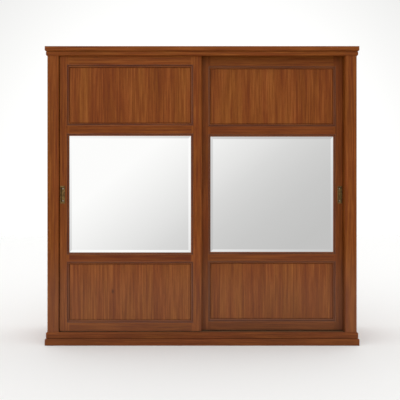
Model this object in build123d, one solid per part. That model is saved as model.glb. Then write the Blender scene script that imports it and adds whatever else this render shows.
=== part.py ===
from build123d import *
import os

# A two-door sliding armoire: face-framed carcass, moulded plinth and cornice, and two framed doors
# that roll one behind the other. Millimetres, +X right, the front faces -Y, +Z up, with the origin
# on the floor under the middle.

# Overall size, over the outermost members of the plinth and cornice.
WIDTH = 2300
HEIGHT = 2190
DEPTH = 660
OUTER_MEMBER = 15  # how far the outermost plinth and cornice members stand past the body
INNER_MEMBER = 8  # and the members next to them

# Carcass.
BOARD = 22
TOP_BOARD = 18
DECK_BOARD = 18
FACE_RAIL = 12
FACE_STILE_WIDTH = 83
FACE_STILE_ROUND = 4
JAMB_BACK = -225  # the doors close against a jamb that runs back past both lanes
JAMB_TOP = 2150
BACK_BOARD = 6
BACK_REBATE = 8
DECK_TOP = 91
PARTITION_X = -9.5
INTERIOR_FRONT = -205
BACK_BOARD_FRONT = 318
BEARER_SPACING = 546

# Plinth and cornice levels.
PLINTH_TOP = 95
PLINTH_QUIRK = 48
PLINTH_QUIRK_SIZE = (5, 6)  # how deep and how high the quirk is cut
CORNICE_BOTTOM = 2124
CORNICE_COVE = (2149.5, 2159.5)
COVE_ROOT = 2  # how far the bottom of the cornice's cove stands from the body
CROWN_EASE = 1  # the chamfer on the cornice's top edge
LIP = 1.5  # thickness left where a moulding dies into the body

# Doors: each leaf's edges in x, and the y of its front face.
LEFT_LEAF = (-1049.5, -1)
RIGHT_LEAF = (-18, 1049.5)
LEFT_LEAF_FACE = -300
RIGHT_LEAF_FACE = -255
LEAF_THICK = 32
LEAF_BOTTOM = 100
LEAF_TOP = 2150
LEAF_OUTER_STILE = 71
LEAF_INNER_STILE = 81
OPENINGS = ((178, 595), (678, 1538), (1630, 2045))  # lower panel, mirror, upper panel
PANEL_DEPTH = 15  # how far a panel's border lies behind the frame's face
PANEL_THICK = 6  # at the border
FIELD_RISE = 6  # how far the field stands proud of its border
FIELD_INSET = 6  # the open groove between the field and the moulding
GROOVE = 10  # depth of the frame's groove, which the rails' stub tenons fill
GROOVE_PLAY = 0.5
MEETING_ROUND = 12  # round-over on the front leaf's meeting edge
OUTER_ROUND = 4  # round-over on a leaf's outer edge
ARRIS = 1.5

# The mitred moulding round each opening, as (distance out, height over the panel's border): a
# rounded slope that faces the opening, a quirk, and a flat up to the frame.
MOULDING_WIDTH = 18
SLOPE = ((0, 5.5), (2.4, 10.2), (8.2, 12.8))
QUIRK = (8.2, 12.4)
QUIRK_FLOOR = 4.5

# Bevelled mirror.
MIRROR_THICK = 6
MIRROR_BEVEL = 18
MIRROR_BEVEL_DROP = 2.5
MIRROR_PLAY = 0.5

# Flush pull, centred this far in from its leaf's outer edge.
PULL_INSET = 23
PULL_HEIGHT = 1104
PULL_PLATE = (36, 130)
PULL_CUP = (22, 108)
PULL_PROUD = 1.0
PULL_PLATE_THICK = 2
PULL_WALL = 1.5
PULL_CUP_DEPTH = 12
PULL_CORNER = 2
PULL_EASE = 0.8
PULL_SCREW_SPACING = 90

# Rolling gear and guides. The lanes run under the middle of each leaf.
RIB_WIDTH = 3
RIB_TOP = 98
TRACK_BASE = 2
TRACK_EDGE = 16  # how far the bottom track reaches past each lane's centre
RUNNING_GAP = 0.3
WHEEL_ROLL = 13  # radius at the bottom of the wheel's groove, where it meets the rib
WHEEL_RIM = 16
WHEEL_WIDTH = 9
AXLE = 3
AXLE_PLAY = 0.05
CARRIAGE = (64, 15, 38)  # housing length, width and height
CARRIAGE_WALL = 1.5
CARRIAGE_INSET = 190  # from the leaf's edge to the wheel's axle
FLANGE = (96, 20, 1.5)
GUIDE_WALL = 2
GUIDE_BOTTOM = 2154
GUIDE_INNER = 14
SHOE = (60, 13.2, 14)  # the nylon tongue's length, width and height
SHOE_FOOT = (90, 24, 3)
SHOE_INSET = 140
STOP_LENGTH = 20
LEFT_TRAVEL = 1050
RIGHT_TRAVEL = 1030

# Interior fittings.
SHELF_BOTTOM = 1790
SHELF_FRONT = -198
SHELF_PLAY = 1
PIN = 2.5
PIN_LENGTH = 16
PIN_Y = (-140, 262)
RAIL_RADIUS = 12.5
RAIL_WALL = 1.2
RAIL_HEIGHT = 1725
RAIL_Y = 56
SOCKET_FLANGE = 24
SOCKET_DEPTH = 16
SOCKET_WALL = 2
SCREW_SHANK = 1.75
SCREW_HEAD = 3.5
SCREW_LENGTH = 14
SCREW_CROSS = 0.8  # width and depth of the driver's cross
TRACK_SCREW_SPACING = 400
TRACK_SCREWS = 6

# Worked out from the above.
BODY_HALF = WIDTH / 2 - OUTER_MEMBER
FRONT = -DEPTH / 2 + OUTER_MEMBER
BACK = DEPTH / 2
STILE_BACK = FRONT + BOARD
FACE_RAIL_BACK = FRONT + FACE_RAIL
OPENING_HALF = BODY_HALF - FACE_STILE_WIDTH
INSIDE_HALF = BODY_HALF - BOARD
TOP_BOTTOM = HEIGHT - TOP_BOARD
DECK_BOTTOM = DECK_TOP - DECK_BOARD
PARTITION = (PARTITION_X - BOARD / 2, PARTITION_X + BOARD / 2)
LANES = (LEFT_LEAF_FACE + LEAF_THICK / 2, RIGHT_LEAF_FACE + LEAF_THICK / 2)
AXLE_Z = RIB_TOP + RUNNING_GAP + WHEEL_ROLL
BAYS = ((-INSIDE_HALF, PARTITION[0]), (PARTITION[1], INSIDE_HALF))


def board(x, y, z):
    """A square-edged board between the given (low, high) pairs."""
    size = [high - low for low, high in (x, y, z)]
    return Pos(*[(low + high) / 2 for low, high in (x, y, z)]) * Box(*size)


def rod(radius, start, direction, length):
    """A round bar from a start point along a direction."""
    return extrude(Plane(start, z_dir=direction) * Circle(radius), length)


def group(solids):
    """Separate solids kept together in one node."""
    return Compound(children=list(solids))


def eased(solid, radius=ARRIS):
    """The board with its long front edges eased."""
    front = solid.edges().group_by(Axis.Y)[0]
    return fillet(front, radius)


def screw(point, direction, length=SCREW_LENGTH):
    """A countersunk screw, its head flush with the face at point and its shank along direction."""
    plane = Plane(point, z_dir=direction)
    head_depth = SCREW_HEAD - SCREW_SHANK
    outline = Polyline(
        (0, 0),
        (SCREW_HEAD, 0),
        (SCREW_SHANK, head_depth),
        (SCREW_SHANK, length - SCREW_SHANK),
        (0, length),
        close=True,
    )
    body = revolve(plane * (Rot(90, 0, 0) * make_face(outline)), Axis(plane.origin, plane.z_dir))
    seat = plane * Pos(0, 0, SCREW_CROSS / 2)
    slot = seat * Box(2 * SCREW_SHANK, SCREW_CROSS, SCREW_CROSS)
    cross = seat * Box(SCREW_CROSS, 2 * SCREW_SHANK, SCREW_CROSS)
    return body - slot - cross


def screw_hole(point, direction, length=SCREW_LENGTH):
    """The countersunk pilot hole that a screw sits in."""
    plane = Plane(point, z_dir=direction)
    head_depth = SCREW_HEAD - SCREW_SHANK
    outline = Polyline(
        (0, 0),
        (SCREW_HEAD, 0),
        (SCREW_SHANK, head_depth),
        (SCREW_SHANK, length),
        (0, length),
        close=True,
    )
    return revolve(plane * (Rot(90, 0, 0) * make_face(outline)), Axis(plane.origin, plane.z_dir))


def drilled(solid, screws):
    """The solid with a pilot hole for each (point, direction)."""
    for point, direction in screws:
        solid = solid - screw_hole(point, direction)
    return solid


# Plinth and cornice mouldings. A profile is drawn as (distance out from the body, height).


def plinth_profile():
    """A square foot, a small rounded step, an upright and a quarter-round that dies into the body."""
    step = OUTER_MEMBER - INNER_MEMBER
    quirk_deep, quirk_high = PLINTH_QUIRK_SIZE
    top_round = INNER_MEMBER - LIP
    foot = Polyline((0, 0), (OUTER_MEMBER, 0), (OUTER_MEMBER, PLINTH_QUIRK - step + 2))
    shoulder = RadiusArc(
        (OUTER_MEMBER, PLINTH_QUIRK - step + 2), (INNER_MEMBER, PLINTH_QUIRK), -step
    )
    quirk = Polyline(
        (INNER_MEMBER, PLINTH_QUIRK),
        (INNER_MEMBER - quirk_deep, PLINTH_QUIRK),
        (INNER_MEMBER - quirk_deep, PLINTH_QUIRK + quirk_high),
        (INNER_MEMBER, PLINTH_QUIRK + quirk_high),
        (INNER_MEMBER, PLINTH_TOP - 2 * top_round),
    )
    crown = ThreePointArc(
        (INNER_MEMBER, PLINTH_TOP - 2 * top_round),
        (INNER_MEMBER - 0.25 * top_round, PLINTH_TOP - 0.55 * top_round),
        (LIP, PLINTH_TOP),
    )
    close = Polyline((LIP, PLINTH_TOP), (0, PLINTH_TOP), (0, 0))
    return make_face(foot + shoulder + quirk + crown + close)


def cornice_profile():
    """A rounded lower member, a cove and a square fascia on top."""
    cove_low, cove_high = CORNICE_COVE
    cove_radius = cove_high - cove_low
    lower_round = INNER_MEMBER - LIP
    start = Polyline((0, HEIGHT), (0, CORNICE_BOTTOM), (LIP, CORNICE_BOTTOM))
    belly = ThreePointArc(
        (LIP, CORNICE_BOTTOM),
        (INNER_MEMBER - 0.3 * lower_round, CORNICE_BOTTOM + 0.3 * lower_round),
        (INNER_MEMBER, CORNICE_BOTTOM + lower_round),
    )
    member = Polyline(
        (INNER_MEMBER, CORNICE_BOTTOM + lower_round),
        (INNER_MEMBER, cove_low),
        (COVE_ROOT, cove_low),
    )
    cove = RadiusArc((COVE_ROOT, cove_low), (COVE_ROOT + cove_radius, cove_high), cove_radius)
    fascia = Polyline(
        (COVE_ROOT + cove_radius, cove_high),
        (OUTER_MEMBER, cove_high),
        (OUTER_MEMBER, HEIGHT - CROWN_EASE),
        (OUTER_MEMBER - CROWN_EASE, HEIGHT),
        (0, HEIGHT),
    )
    return make_face(start + belly + member + cove + fascia)


def mitred_run(profile, side):
    """One run of moulding: side is -1 for the left return, 0 for the front and 1 for the right return."""
    reach = OUTER_MEMBER
    if side == 0:
        plane = Plane((BODY_HALF + reach, FRONT, 0), x_dir=(0, -1, 0), z_dir=(-1, 0, 0))
        length = 2 * (BODY_HALF + reach)
        plan = [
            (-BODY_HALF, FRONT),
            (BODY_HALF, FRONT),
            (BODY_HALF + reach, FRONT - reach),
            (-BODY_HALF - reach, FRONT - reach),
        ]
    else:
        start = BACK if side > 0 else FRONT - reach
        plane = Plane((side * BODY_HALF, start, 0), x_dir=(side, 0, 0), z_dir=(0, -side, 0))
        length = BACK - FRONT + reach
        plan = [
            (side * BODY_HALF, FRONT),
            (side * (BODY_HALF + reach), FRONT - reach),
            (side * (BODY_HALF + reach), BACK),
            (side * BODY_HALF, BACK),
        ]
    mitre = extrude(make_face(Polyline(*plan, close=True)), HEIGHT)
    return extrude(plane * profile, length) & mitre


def plinth_and_cornice():
    """The six mitred runs of moulding."""
    parts = {}
    for side, name in ((0, "front"), (-1, "left"), (1, "right")):
        parts[f"plinth_{name}_moulding"] = mitred_run(plinth_profile(), side)
        parts[f"cornice_{name}_moulding"] = mitred_run(cornice_profile(), side)
    return parts


# Carcass.


def face_stile(side):
    """A corner post: a face that is rounded over towards the doors, and the jamb behind it."""
    edges = sorted((side * OPENING_HALF, side * BODY_HALF))
    stile = board(edges, (FRONT, STILE_BACK), (0, TOP_BOTTOM))
    front = stile.edges().filter_by(Axis.Z).group_by(Axis.Y)[0].sort_by(Axis.X)
    inner, outer = (front[-1], front[0]) if side < 0 else (front[0], front[-1])
    stile = fillet(inner, FACE_STILE_ROUND)
    outer = stile.edges().filter_by(Axis.Z).group_by(Axis.Y)[0].sort_by(Axis.X)
    stile = fillet(outer[0] if side < 0 else outer[-1], 2 * ARRIS)
    jamb = sorted((side * OPENING_HALF, side * INSIDE_HALF))
    return stile + board(jamb, (STILE_BACK, JAMB_BACK), (DECK_TOP, JAMB_TOP))


def pin_places(bay):
    """Where a bay's shelf pins start, and which way they point, into the two walls."""
    left, right = bay
    z = SHELF_BOTTOM - PIN
    walls = ((left, -1), (right, 1))
    return [((x, y, z), (way, 0, 0)) for x, way in walls for y in PIN_Y]


def pin_holes():
    """The blind holes for every shelf pin."""
    places = [place for bay in BAYS for place in pin_places(bay)]
    return [rod(PIN, point, way, PIN_LENGTH / 2) for point, way in places]


def shelf_pins():
    """Pins half in their holes, with the shelf on the other half."""
    pins = []
    for bay in BAYS:
        for (x, y, z), way in pin_places(bay):
            pins.append(rod(PIN, (x + way[0] * PIN_LENGTH / 2, y, z), (-way[0], 0, 0), PIN_LENGTH))
    return group(pins)


def socket_screws():
    """Two screws for each hanging-rail socket, above and below the rail."""
    offset = (RAIL_RADIUS + SOCKET_WALL + SOCKET_FLANGE) / 2
    places = []
    for left, right in BAYS:
        for x, way in ((left, 1), (right, -1)):
            for z in (RAIL_HEIGHT - offset, RAIL_HEIGHT + offset):
                places.append(((x + way * SOCKET_WALL, RAIL_Y, z), (-way, 0, 0)))
    return places


def track_screws():
    """Screws down the middle of the bottom track and up through the guide track, between the lanes."""
    middle = sum(LANES) / 2
    spots = [TRACK_SCREW_SPACING * (place - (TRACK_SCREWS - 1) / 2) for place in range(TRACK_SCREWS)]
    low = [((x, middle, DECK_TOP + TRACK_BASE), (0, 0, -1)) for x in spots]
    high = [((x, middle, TOP_BOTTOM - GUIDE_WALL), (0, 0, 1)) for x in spots]
    return low, high


def side_panel(side):
    """A side panel behind its face stile, rebated for the back and drilled for the fittings."""
    edges = sorted((side * INSIDE_HALF, side * BODY_HALF))
    panel = board(edges, (STILE_BACK, BACK), (0, TOP_BOTTOM))
    rebate = sorted((side * INSIDE_HALF, side * (INSIDE_HALF + BACK_REBATE)))
    panel = panel - board(rebate, (BACK_BOARD_FRONT, BACK), (0, TOP_BOTTOM))
    for hole in pin_holes():
        panel = panel - hole
    near = [place for place in socket_screws() if place[0][0] * side > INSIDE_HALF / 2]
    return drilled(panel, near)


def partition():
    """The upright between the two bays."""
    panel = board(PARTITION, (INTERIOR_FRONT, BACK_BOARD_FRONT), (DECK_TOP, TOP_BOTTOM))
    panel = eased(panel)
    for hole in pin_holes():
        panel = panel - hole
    near = [place for place in socket_screws() if abs(place[0][0]) < INSIDE_HALF / 2]
    return drilled(panel, near)


def deck():
    """The cabinet floor, notched round the face stiles."""
    floor = board((-INSIDE_HALF, INSIDE_HALF), (STILE_BACK, BACK_BOARD_FRONT), (DECK_BOTTOM, DECK_TOP))
    tongue = board((-OPENING_HALF, OPENING_HALF), (FACE_RAIL_BACK, STILE_BACK), (DECK_BOTTOM, DECK_TOP))
    return drilled(floor + tongue, track_screws()[0])


def top_panel():
    """The roof, laid over the sides and the face frame."""
    roof = board((-BODY_HALF, BODY_HALF), (FRONT, BACK), (TOP_BOTTOM, HEIGHT))
    return drilled(roof, track_screws()[1])


def base_bearers():
    """Cross bearers under the deck, from the front rail to the back rail."""
    places = [PARTITION_X + step * BEARER_SPACING for step in (-1, 0, 1)]
    span = (FACE_RAIL_BACK, BACK_BOARD_FRONT - BOARD)
    rail = board((-INSIDE_HALF, INSIDE_HALF), (span[1], BACK_BOARD_FRONT), (0, DECK_BOTTOM))
    bearers = [board((x - BOARD / 2, x + BOARD / 2), span, (0, DECK_BOTTOM)) for x in places]
    return group([rail] + bearers)


def back_panels():
    """Two thin backs that meet behind the partition."""
    y = (BACK_BOARD_FRONT, BACK_BOARD_FRONT + BACK_BOARD)
    edge = INSIDE_HALF + BACK_REBATE
    z = (DECK_BOTTOM / 2, TOP_BOTTOM)
    spans = ((-edge, PARTITION_X - 1), (PARTITION_X + 1, edge))
    return group(board(x, y, z) for x in spans)


def back_strip():
    """The strip that covers the joint between the backs."""
    y = BACK_BOARD_FRONT + BACK_BOARD
    return board((PARTITION_X - 20, PARTITION_X + 20), (y, y + 4), (DECK_BOTTOM / 2, TOP_BOTTOM))


def hat_shelves():
    """A shelf above the hanging rail in each bay."""
    z = (SHELF_BOTTOM, SHELF_BOTTOM + BOARD)
    y = (SHELF_FRONT, BACK_BOARD_FRONT - SHELF_PLAY)
    return group(eased(board((left + SHELF_PLAY, right - SHELF_PLAY), y, z)) for left, right in BAYS)


def hanging_rails():
    """A round tube across each bay."""
    rails = []
    for left, right in BAYS:
        start = (left + SOCKET_WALL, RAIL_Y, RAIL_HEIGHT)
        length = right - left - 2 * SOCKET_WALL
        tube = rod(RAIL_RADIUS, start, (1, 0, 0), length)
        rails.append(tube - rod(RAIL_RADIUS - RAIL_WALL, start, (1, 0, 0), length))
    return group(rails)


def rail_sockets():
    """A flanged cup for each end of each hanging rail."""
    sockets = []
    for left, right in BAYS:
        for x, way in ((left, 1), (right, -1)):
            wall = (x, RAIL_Y, RAIL_HEIGHT)
            flange = rod(SOCKET_FLANGE, wall, (way, 0, 0), SOCKET_WALL)
            cup = rod(RAIL_RADIUS + SOCKET_WALL, wall, (way, 0, 0), SOCKET_DEPTH)
            seat = (x + way * SOCKET_WALL, RAIL_Y, RAIL_HEIGHT)
            bore = rod(RAIL_RADIUS, seat, (way, 0, 0), SOCKET_DEPTH)
            near = [place for place in socket_screws() if place[0][0] == seat[0]]
            sockets.append(drilled(flange + cup - bore, near))
    return group(sockets)


def carcass():
    """Every fixed board and fitting of the cabinet."""
    rail_span = (-OPENING_HALF, OPENING_HALF)
    rail_depth = (FRONT, FACE_RAIL_BACK)
    low_screws, high_screws = track_screws()
    screws = [screw(point, way) for point, way in low_screws + high_screws + socket_screws()]
    return {
        "plinth_front_rail": board(rail_span, rail_depth, (0, PLINTH_TOP)),
        "plinth_bearers": base_bearers(),
        "bottom_panel": deck(),
        "left_side_panel": side_panel(-1),
        "right_side_panel": side_panel(1),
        "left_face_stile": face_stile(-1),
        "right_face_stile": face_stile(1),
        "cornice_rail": board(rail_span, rail_depth, (CORNICE_BOTTOM, TOP_BOTTOM)),
        "top_panel": top_panel(),
        "centre_partition": partition(),
        "back_panels": back_panels(),
        "back_joint_strip": back_strip(),
        "hat_shelves": hat_shelves(),
        "shelf_pins": shelf_pins(),
        "hanging_rails": hanging_rails(),
        "hanging_rail_sockets": rail_sockets(),
        "cabinet_screws": group(screws),
    }


# Tracks.


def bottom_track():
    """A flat extrusion with one rib for each lane."""
    span = (-OPENING_HALF, OPENING_HALF)
    edges = (LANES[0] - TRACK_EDGE, LANES[1] + TRACK_EDGE)
    track = board(span, edges, (DECK_TOP, DECK_TOP + TRACK_BASE))
    for lane in LANES:
        track = track + board(span, (lane - RIB_WIDTH / 2, lane + RIB_WIDTH / 2), (DECK_TOP, RIB_TOP))
    return drilled(track, track_screws()[0])


def guide_track():
    """An extrusion with a downward channel for each lane."""
    span = (-INSIDE_HALF, INSIDE_HALF)
    outer = GUIDE_INNER / 2 + GUIDE_WALL
    edges = (LANES[0] - outer, LANES[1] + outer)
    track = board(span, edges, (TOP_BOTTOM - GUIDE_WALL, TOP_BOTTOM))
    for lane in LANES:
        for side in (-1, 1):
            wall = sorted((lane + side * GUIDE_INNER / 2, lane + side * outer))
            track = track + board(span, wall, (GUIDE_BOTTOM, TOP_BOTTOM))
    return drilled(track, track_screws()[1])


def door_stops():
    """Rubber blocks in the guide channels, one past each leaf's guide shoe at each end of its travel."""
    shoe_half = SHOE[0] / 2
    stops = []
    for leaf, lane, low, high in (
        (LEFT_LEAF, LANES[0], 0, LEFT_TRAVEL),
        (RIGHT_LEAF, LANES[1], -RIGHT_TRAVEL, 0),
    ):
        first = leaf[0] + SHOE_INSET - shoe_half + low - RUNNING_GAP
        last = leaf[1] - SHOE_INSET + shoe_half + high + RUNNING_GAP
        for x in ((first - STOP_LENGTH, first), (last, last + STOP_LENGTH)):
            y = (lane - GUIDE_INNER / 2, lane + GUIDE_INNER / 2)
            stops.append(board(x, y, (GUIDE_BOTTOM + 1, TOP_BOTTOM - GUIDE_WALL)))
    return group(stops)


# Doors.


def moulding_profile():
    """A moulding round an opening: (distance out from the opening, height above the border)."""
    edge = Polyline(
        SLOPE[2],
        (QUIRK[0], QUIRK_FLOOR),
        (QUIRK[1], QUIRK_FLOOR),
        (QUIRK[1], PANEL_DEPTH),
        (MOULDING_WIDTH, PANEL_DEPTH),
        (MOULDING_WIDTH, 0),
        (0, 0),
        SLOPE[0],
    )
    return make_face(ThreePointArc(*SLOPE) + edge)


def moulding_bar(x, z, face, out):
    """One mitred side of the moulding round an opening. out is the (x, z) direction away from it."""
    out_x, out_z = out
    middle = ((x[0] + x[1]) / 2, (z[0] + z[1]) / 2)
    half = ((x[1] - x[0]) / 2, (z[1] - z[0]) / 2)
    along = Vector(out_x, 0, out_z).cross(Vector(0, -1, 0))
    reach = half[1] if out_x else half[0]
    length = 2 * (reach + MOULDING_WIDTH)
    edge = Vector(middle[0] + out_x * half[0], face + PANEL_DEPTH, middle[1] + out_z * half[1])
    plane = Plane(edge - along * (length / 2), x_dir=(out_x, 0, out_z), z_dir=along)
    bar = extrude(plane * moulding_profile(), length)
    mitre = Polyline(
        (-reach, 0),
        (reach, 0),
        (reach + MOULDING_WIDTH, MOULDING_WIDTH),
        (-reach - MOULDING_WIDTH, MOULDING_WIDTH),
        close=True,
    )
    front = Plane(edge, x_dir=along, z_dir=(0, -1, 0))
    cutter = extrude(front * make_face(mitre), PANEL_DEPTH)
    return bar & cutter


def panel_mouldings(inner, openings, face):
    """The mitred mouldings round both panels and the mirror."""
    bars = []
    for z in openings:
        for out in ((-1, 0), (1, 0), (0, -1), (0, 1)):
            bars.append(moulding_bar(inner, z, face, out))
    return group(bars)


def rebates(inner, openings, face):
    """The front rebates that the mouldings sit in."""
    depth = (face, face + PANEL_DEPTH)
    x = (inner[0] - MOULDING_WIDTH, inner[1] + MOULDING_WIDTH)
    return [
        board(x, depth, (low - MOULDING_WIDTH, high + MOULDING_WIDTH))
        for low, high in openings
    ]


def pull_cutter(x, face):
    """The mortise for a flush pull's plate and cup."""
    z = PULL_HEIGHT
    width, height = PULL_PLATE
    seat = PULL_PLATE_THICK - PULL_PROUD
    plate = board((x - width / 2, x + width / 2), (face, face + seat), (z - height / 2, z + height / 2))
    width, height = (size + 2 * PULL_WALL for size in PULL_CUP)
    deep = face - PULL_PROUD + PULL_CUP_DEPTH + PULL_WALL
    cup = board((x - width / 2, x + width / 2), (face, deep), (z - height / 2, z + height / 2))
    return plate + cup


def pull_screws(x, face):
    """The two screws in the floor of a flush pull."""
    y = face - PULL_PROUD + PULL_CUP_DEPTH
    half = PULL_SCREW_SPACING / 2
    return [((x, y, PULL_HEIGHT + side * half), (0, 1, 0)) for side in (-1, 1)]


def flush_pull(x, face):
    """A plate with a sunk rectangular cup."""
    front = face - PULL_PROUD

    def block(size, depth, wall=0):
        width, height = (side + 2 * wall for side in size)
        z = (PULL_HEIGHT - height / 2, PULL_HEIGHT + height / 2)
        return board((x - width / 2, x + width / 2), (front, front + depth), z)

    plate = block(PULL_PLATE, PULL_PLATE_THICK)
    plate = fillet(plate.edges().filter_by(Axis.Y), PULL_CORNER)
    plate = fillet(plate.edges().group_by(Axis.Y)[0], PULL_EASE)
    shell = block(PULL_CUP, PULL_CUP_DEPTH + PULL_WALL, PULL_WALL)
    hollow = block(PULL_CUP, PULL_CUP_DEPTH)
    hollow = fillet(hollow.edges().filter_by(Axis.Y), PULL_CORNER)
    return drilled(plate + shell - hollow, pull_screws(x, face))


def carriage_centres(leaf):
    """The x of each of a leaf's two axles."""
    return (leaf[0] + CARRIAGE_INSET, leaf[1] - CARRIAGE_INSET)


def carriage_screws(x, lane):
    """The two screws that hold a carriage's flange up to the bottom rail."""
    offset = (CARRIAGE[0] + FLANGE[0]) / 4
    return [((x + side * offset, lane, LEAF_BOTTOM - FLANGE[2]), (0, 0, 1)) for side in (-1, 1)]


def carriage(x, lane):
    """A folded steel housing, open below, with a flange under the bottom rail and a hole for the axle."""
    length, width, height = CARRIAGE
    z = (LEAF_BOTTOM - FLANGE[2], LEAF_BOTTOM + height)
    shell = board((x - length / 2, x + length / 2), (lane - width / 2, lane + width / 2), z)
    flange = board(
        (x - FLANGE[0] / 2, x + FLANGE[0] / 2),
        (lane - FLANGE[1] / 2, lane + FLANGE[1] / 2),
        (LEAF_BOTTOM - FLANGE[2], LEAF_BOTTOM),
    )
    hollow = board(
        (x - length / 2 + CARRIAGE_WALL, x + length / 2 - CARRIAGE_WALL),
        (lane - width / 2 + CARRIAGE_WALL, lane + width / 2 - CARRIAGE_WALL),
        (LEAF_BOTTOM - FLANGE[2], LEAF_BOTTOM + height - CARRIAGE_WALL),
    )
    bore = rod(AXLE, (x, lane - width / 2, AXLE_Z), (0, 1, 0), width)
    return drilled(shell + flange - hollow - bore, carriage_screws(x, lane))


def wheel(x, lane):
    """A grooved nylon wheel that straddles the rib."""
    half = WHEEL_WIDTH / 2
    groove = RIB_WIDTH / 2 + RUNNING_GAP
    outline = Polyline(
        (AXLE + AXLE_PLAY, -half),
        (WHEEL_RIM - 0.8, -half),
        (WHEEL_RIM, -half + 0.8),
        (WHEEL_RIM, -groove - 0.5),
        (WHEEL_ROLL, -groove),
        (WHEEL_ROLL, groove),
        (WHEEL_RIM, groove + 0.5),
        (WHEEL_RIM, half - 0.8),
        (WHEEL_RIM - 0.8, half),
        (AXLE + AXLE_PLAY, half),
        close=True,
    )
    return Pos(x, lane, AXLE_Z) * revolve(make_face(outline), Axis.Y)


def shoe_screws(x, lane):
    """The two screws that hold a guide shoe down on the leaf's top edge."""
    offset = (SHOE[0] + SHOE_FOOT[0]) / 4
    return [((x + side * offset, lane, LEAF_TOP + SHOE_FOOT[2]), (0, 0, -1)) for side in (-1, 1)]


def guide_shoe(x, lane):
    """A nylon foot with a tongue that runs in the guide channel."""
    foot = board(
        (x - SHOE_FOOT[0] / 2, x + SHOE_FOOT[0] / 2),
        (lane - SHOE_FOOT[1] / 2, lane + SHOE_FOOT[1] / 2),
        (LEAF_TOP, LEAF_TOP + SHOE_FOOT[2]),
    )
    tongue = board(
        (x - SHOE[0] / 2, x + SHOE[0] / 2),
        (lane - SHOE[1] / 2, lane + SHOE[1] / 2),
        (LEAF_TOP + SHOE_FOOT[2], LEAF_TOP + SHOE_FOOT[2] + SHOE[2]),
    )
    tongue = fillet(tongue.edges().filter_by(Axis.Z), 3)
    return drilled(foot + tongue, shoe_screws(x, lane))


def mirror(inner, opening, face):
    """A sheet of mirror glass with a wide bevel, lying on its backing board."""
    x = (inner[0] + MIRROR_PLAY, inner[1] - MIRROR_PLAY)
    z = (opening[0] + MIRROR_PLAY, opening[1] - MIRROR_PLAY)
    back = face + PANEL_DEPTH
    edge = back - MIRROR_THICK + MIRROR_BEVEL_DROP
    middle = ((x[0] + x[1]) / 2, (z[0] + z[1]) / 2)
    width, height = x[1] - x[0], z[1] - z[0]
    sheet = board(x, (edge, back), z)
    plane = Plane((middle[0], edge, middle[1]), x_dir=(1, 0, 0), z_dir=(0, -1, 0))
    outline = plane * Rectangle(width, height)
    inset = 2 * MIRROR_BEVEL
    crown = plane.offset(MIRROR_BEVEL_DROP) * Rectangle(width - inset, height - inset)
    return sheet + loft([outline, crown])


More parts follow.
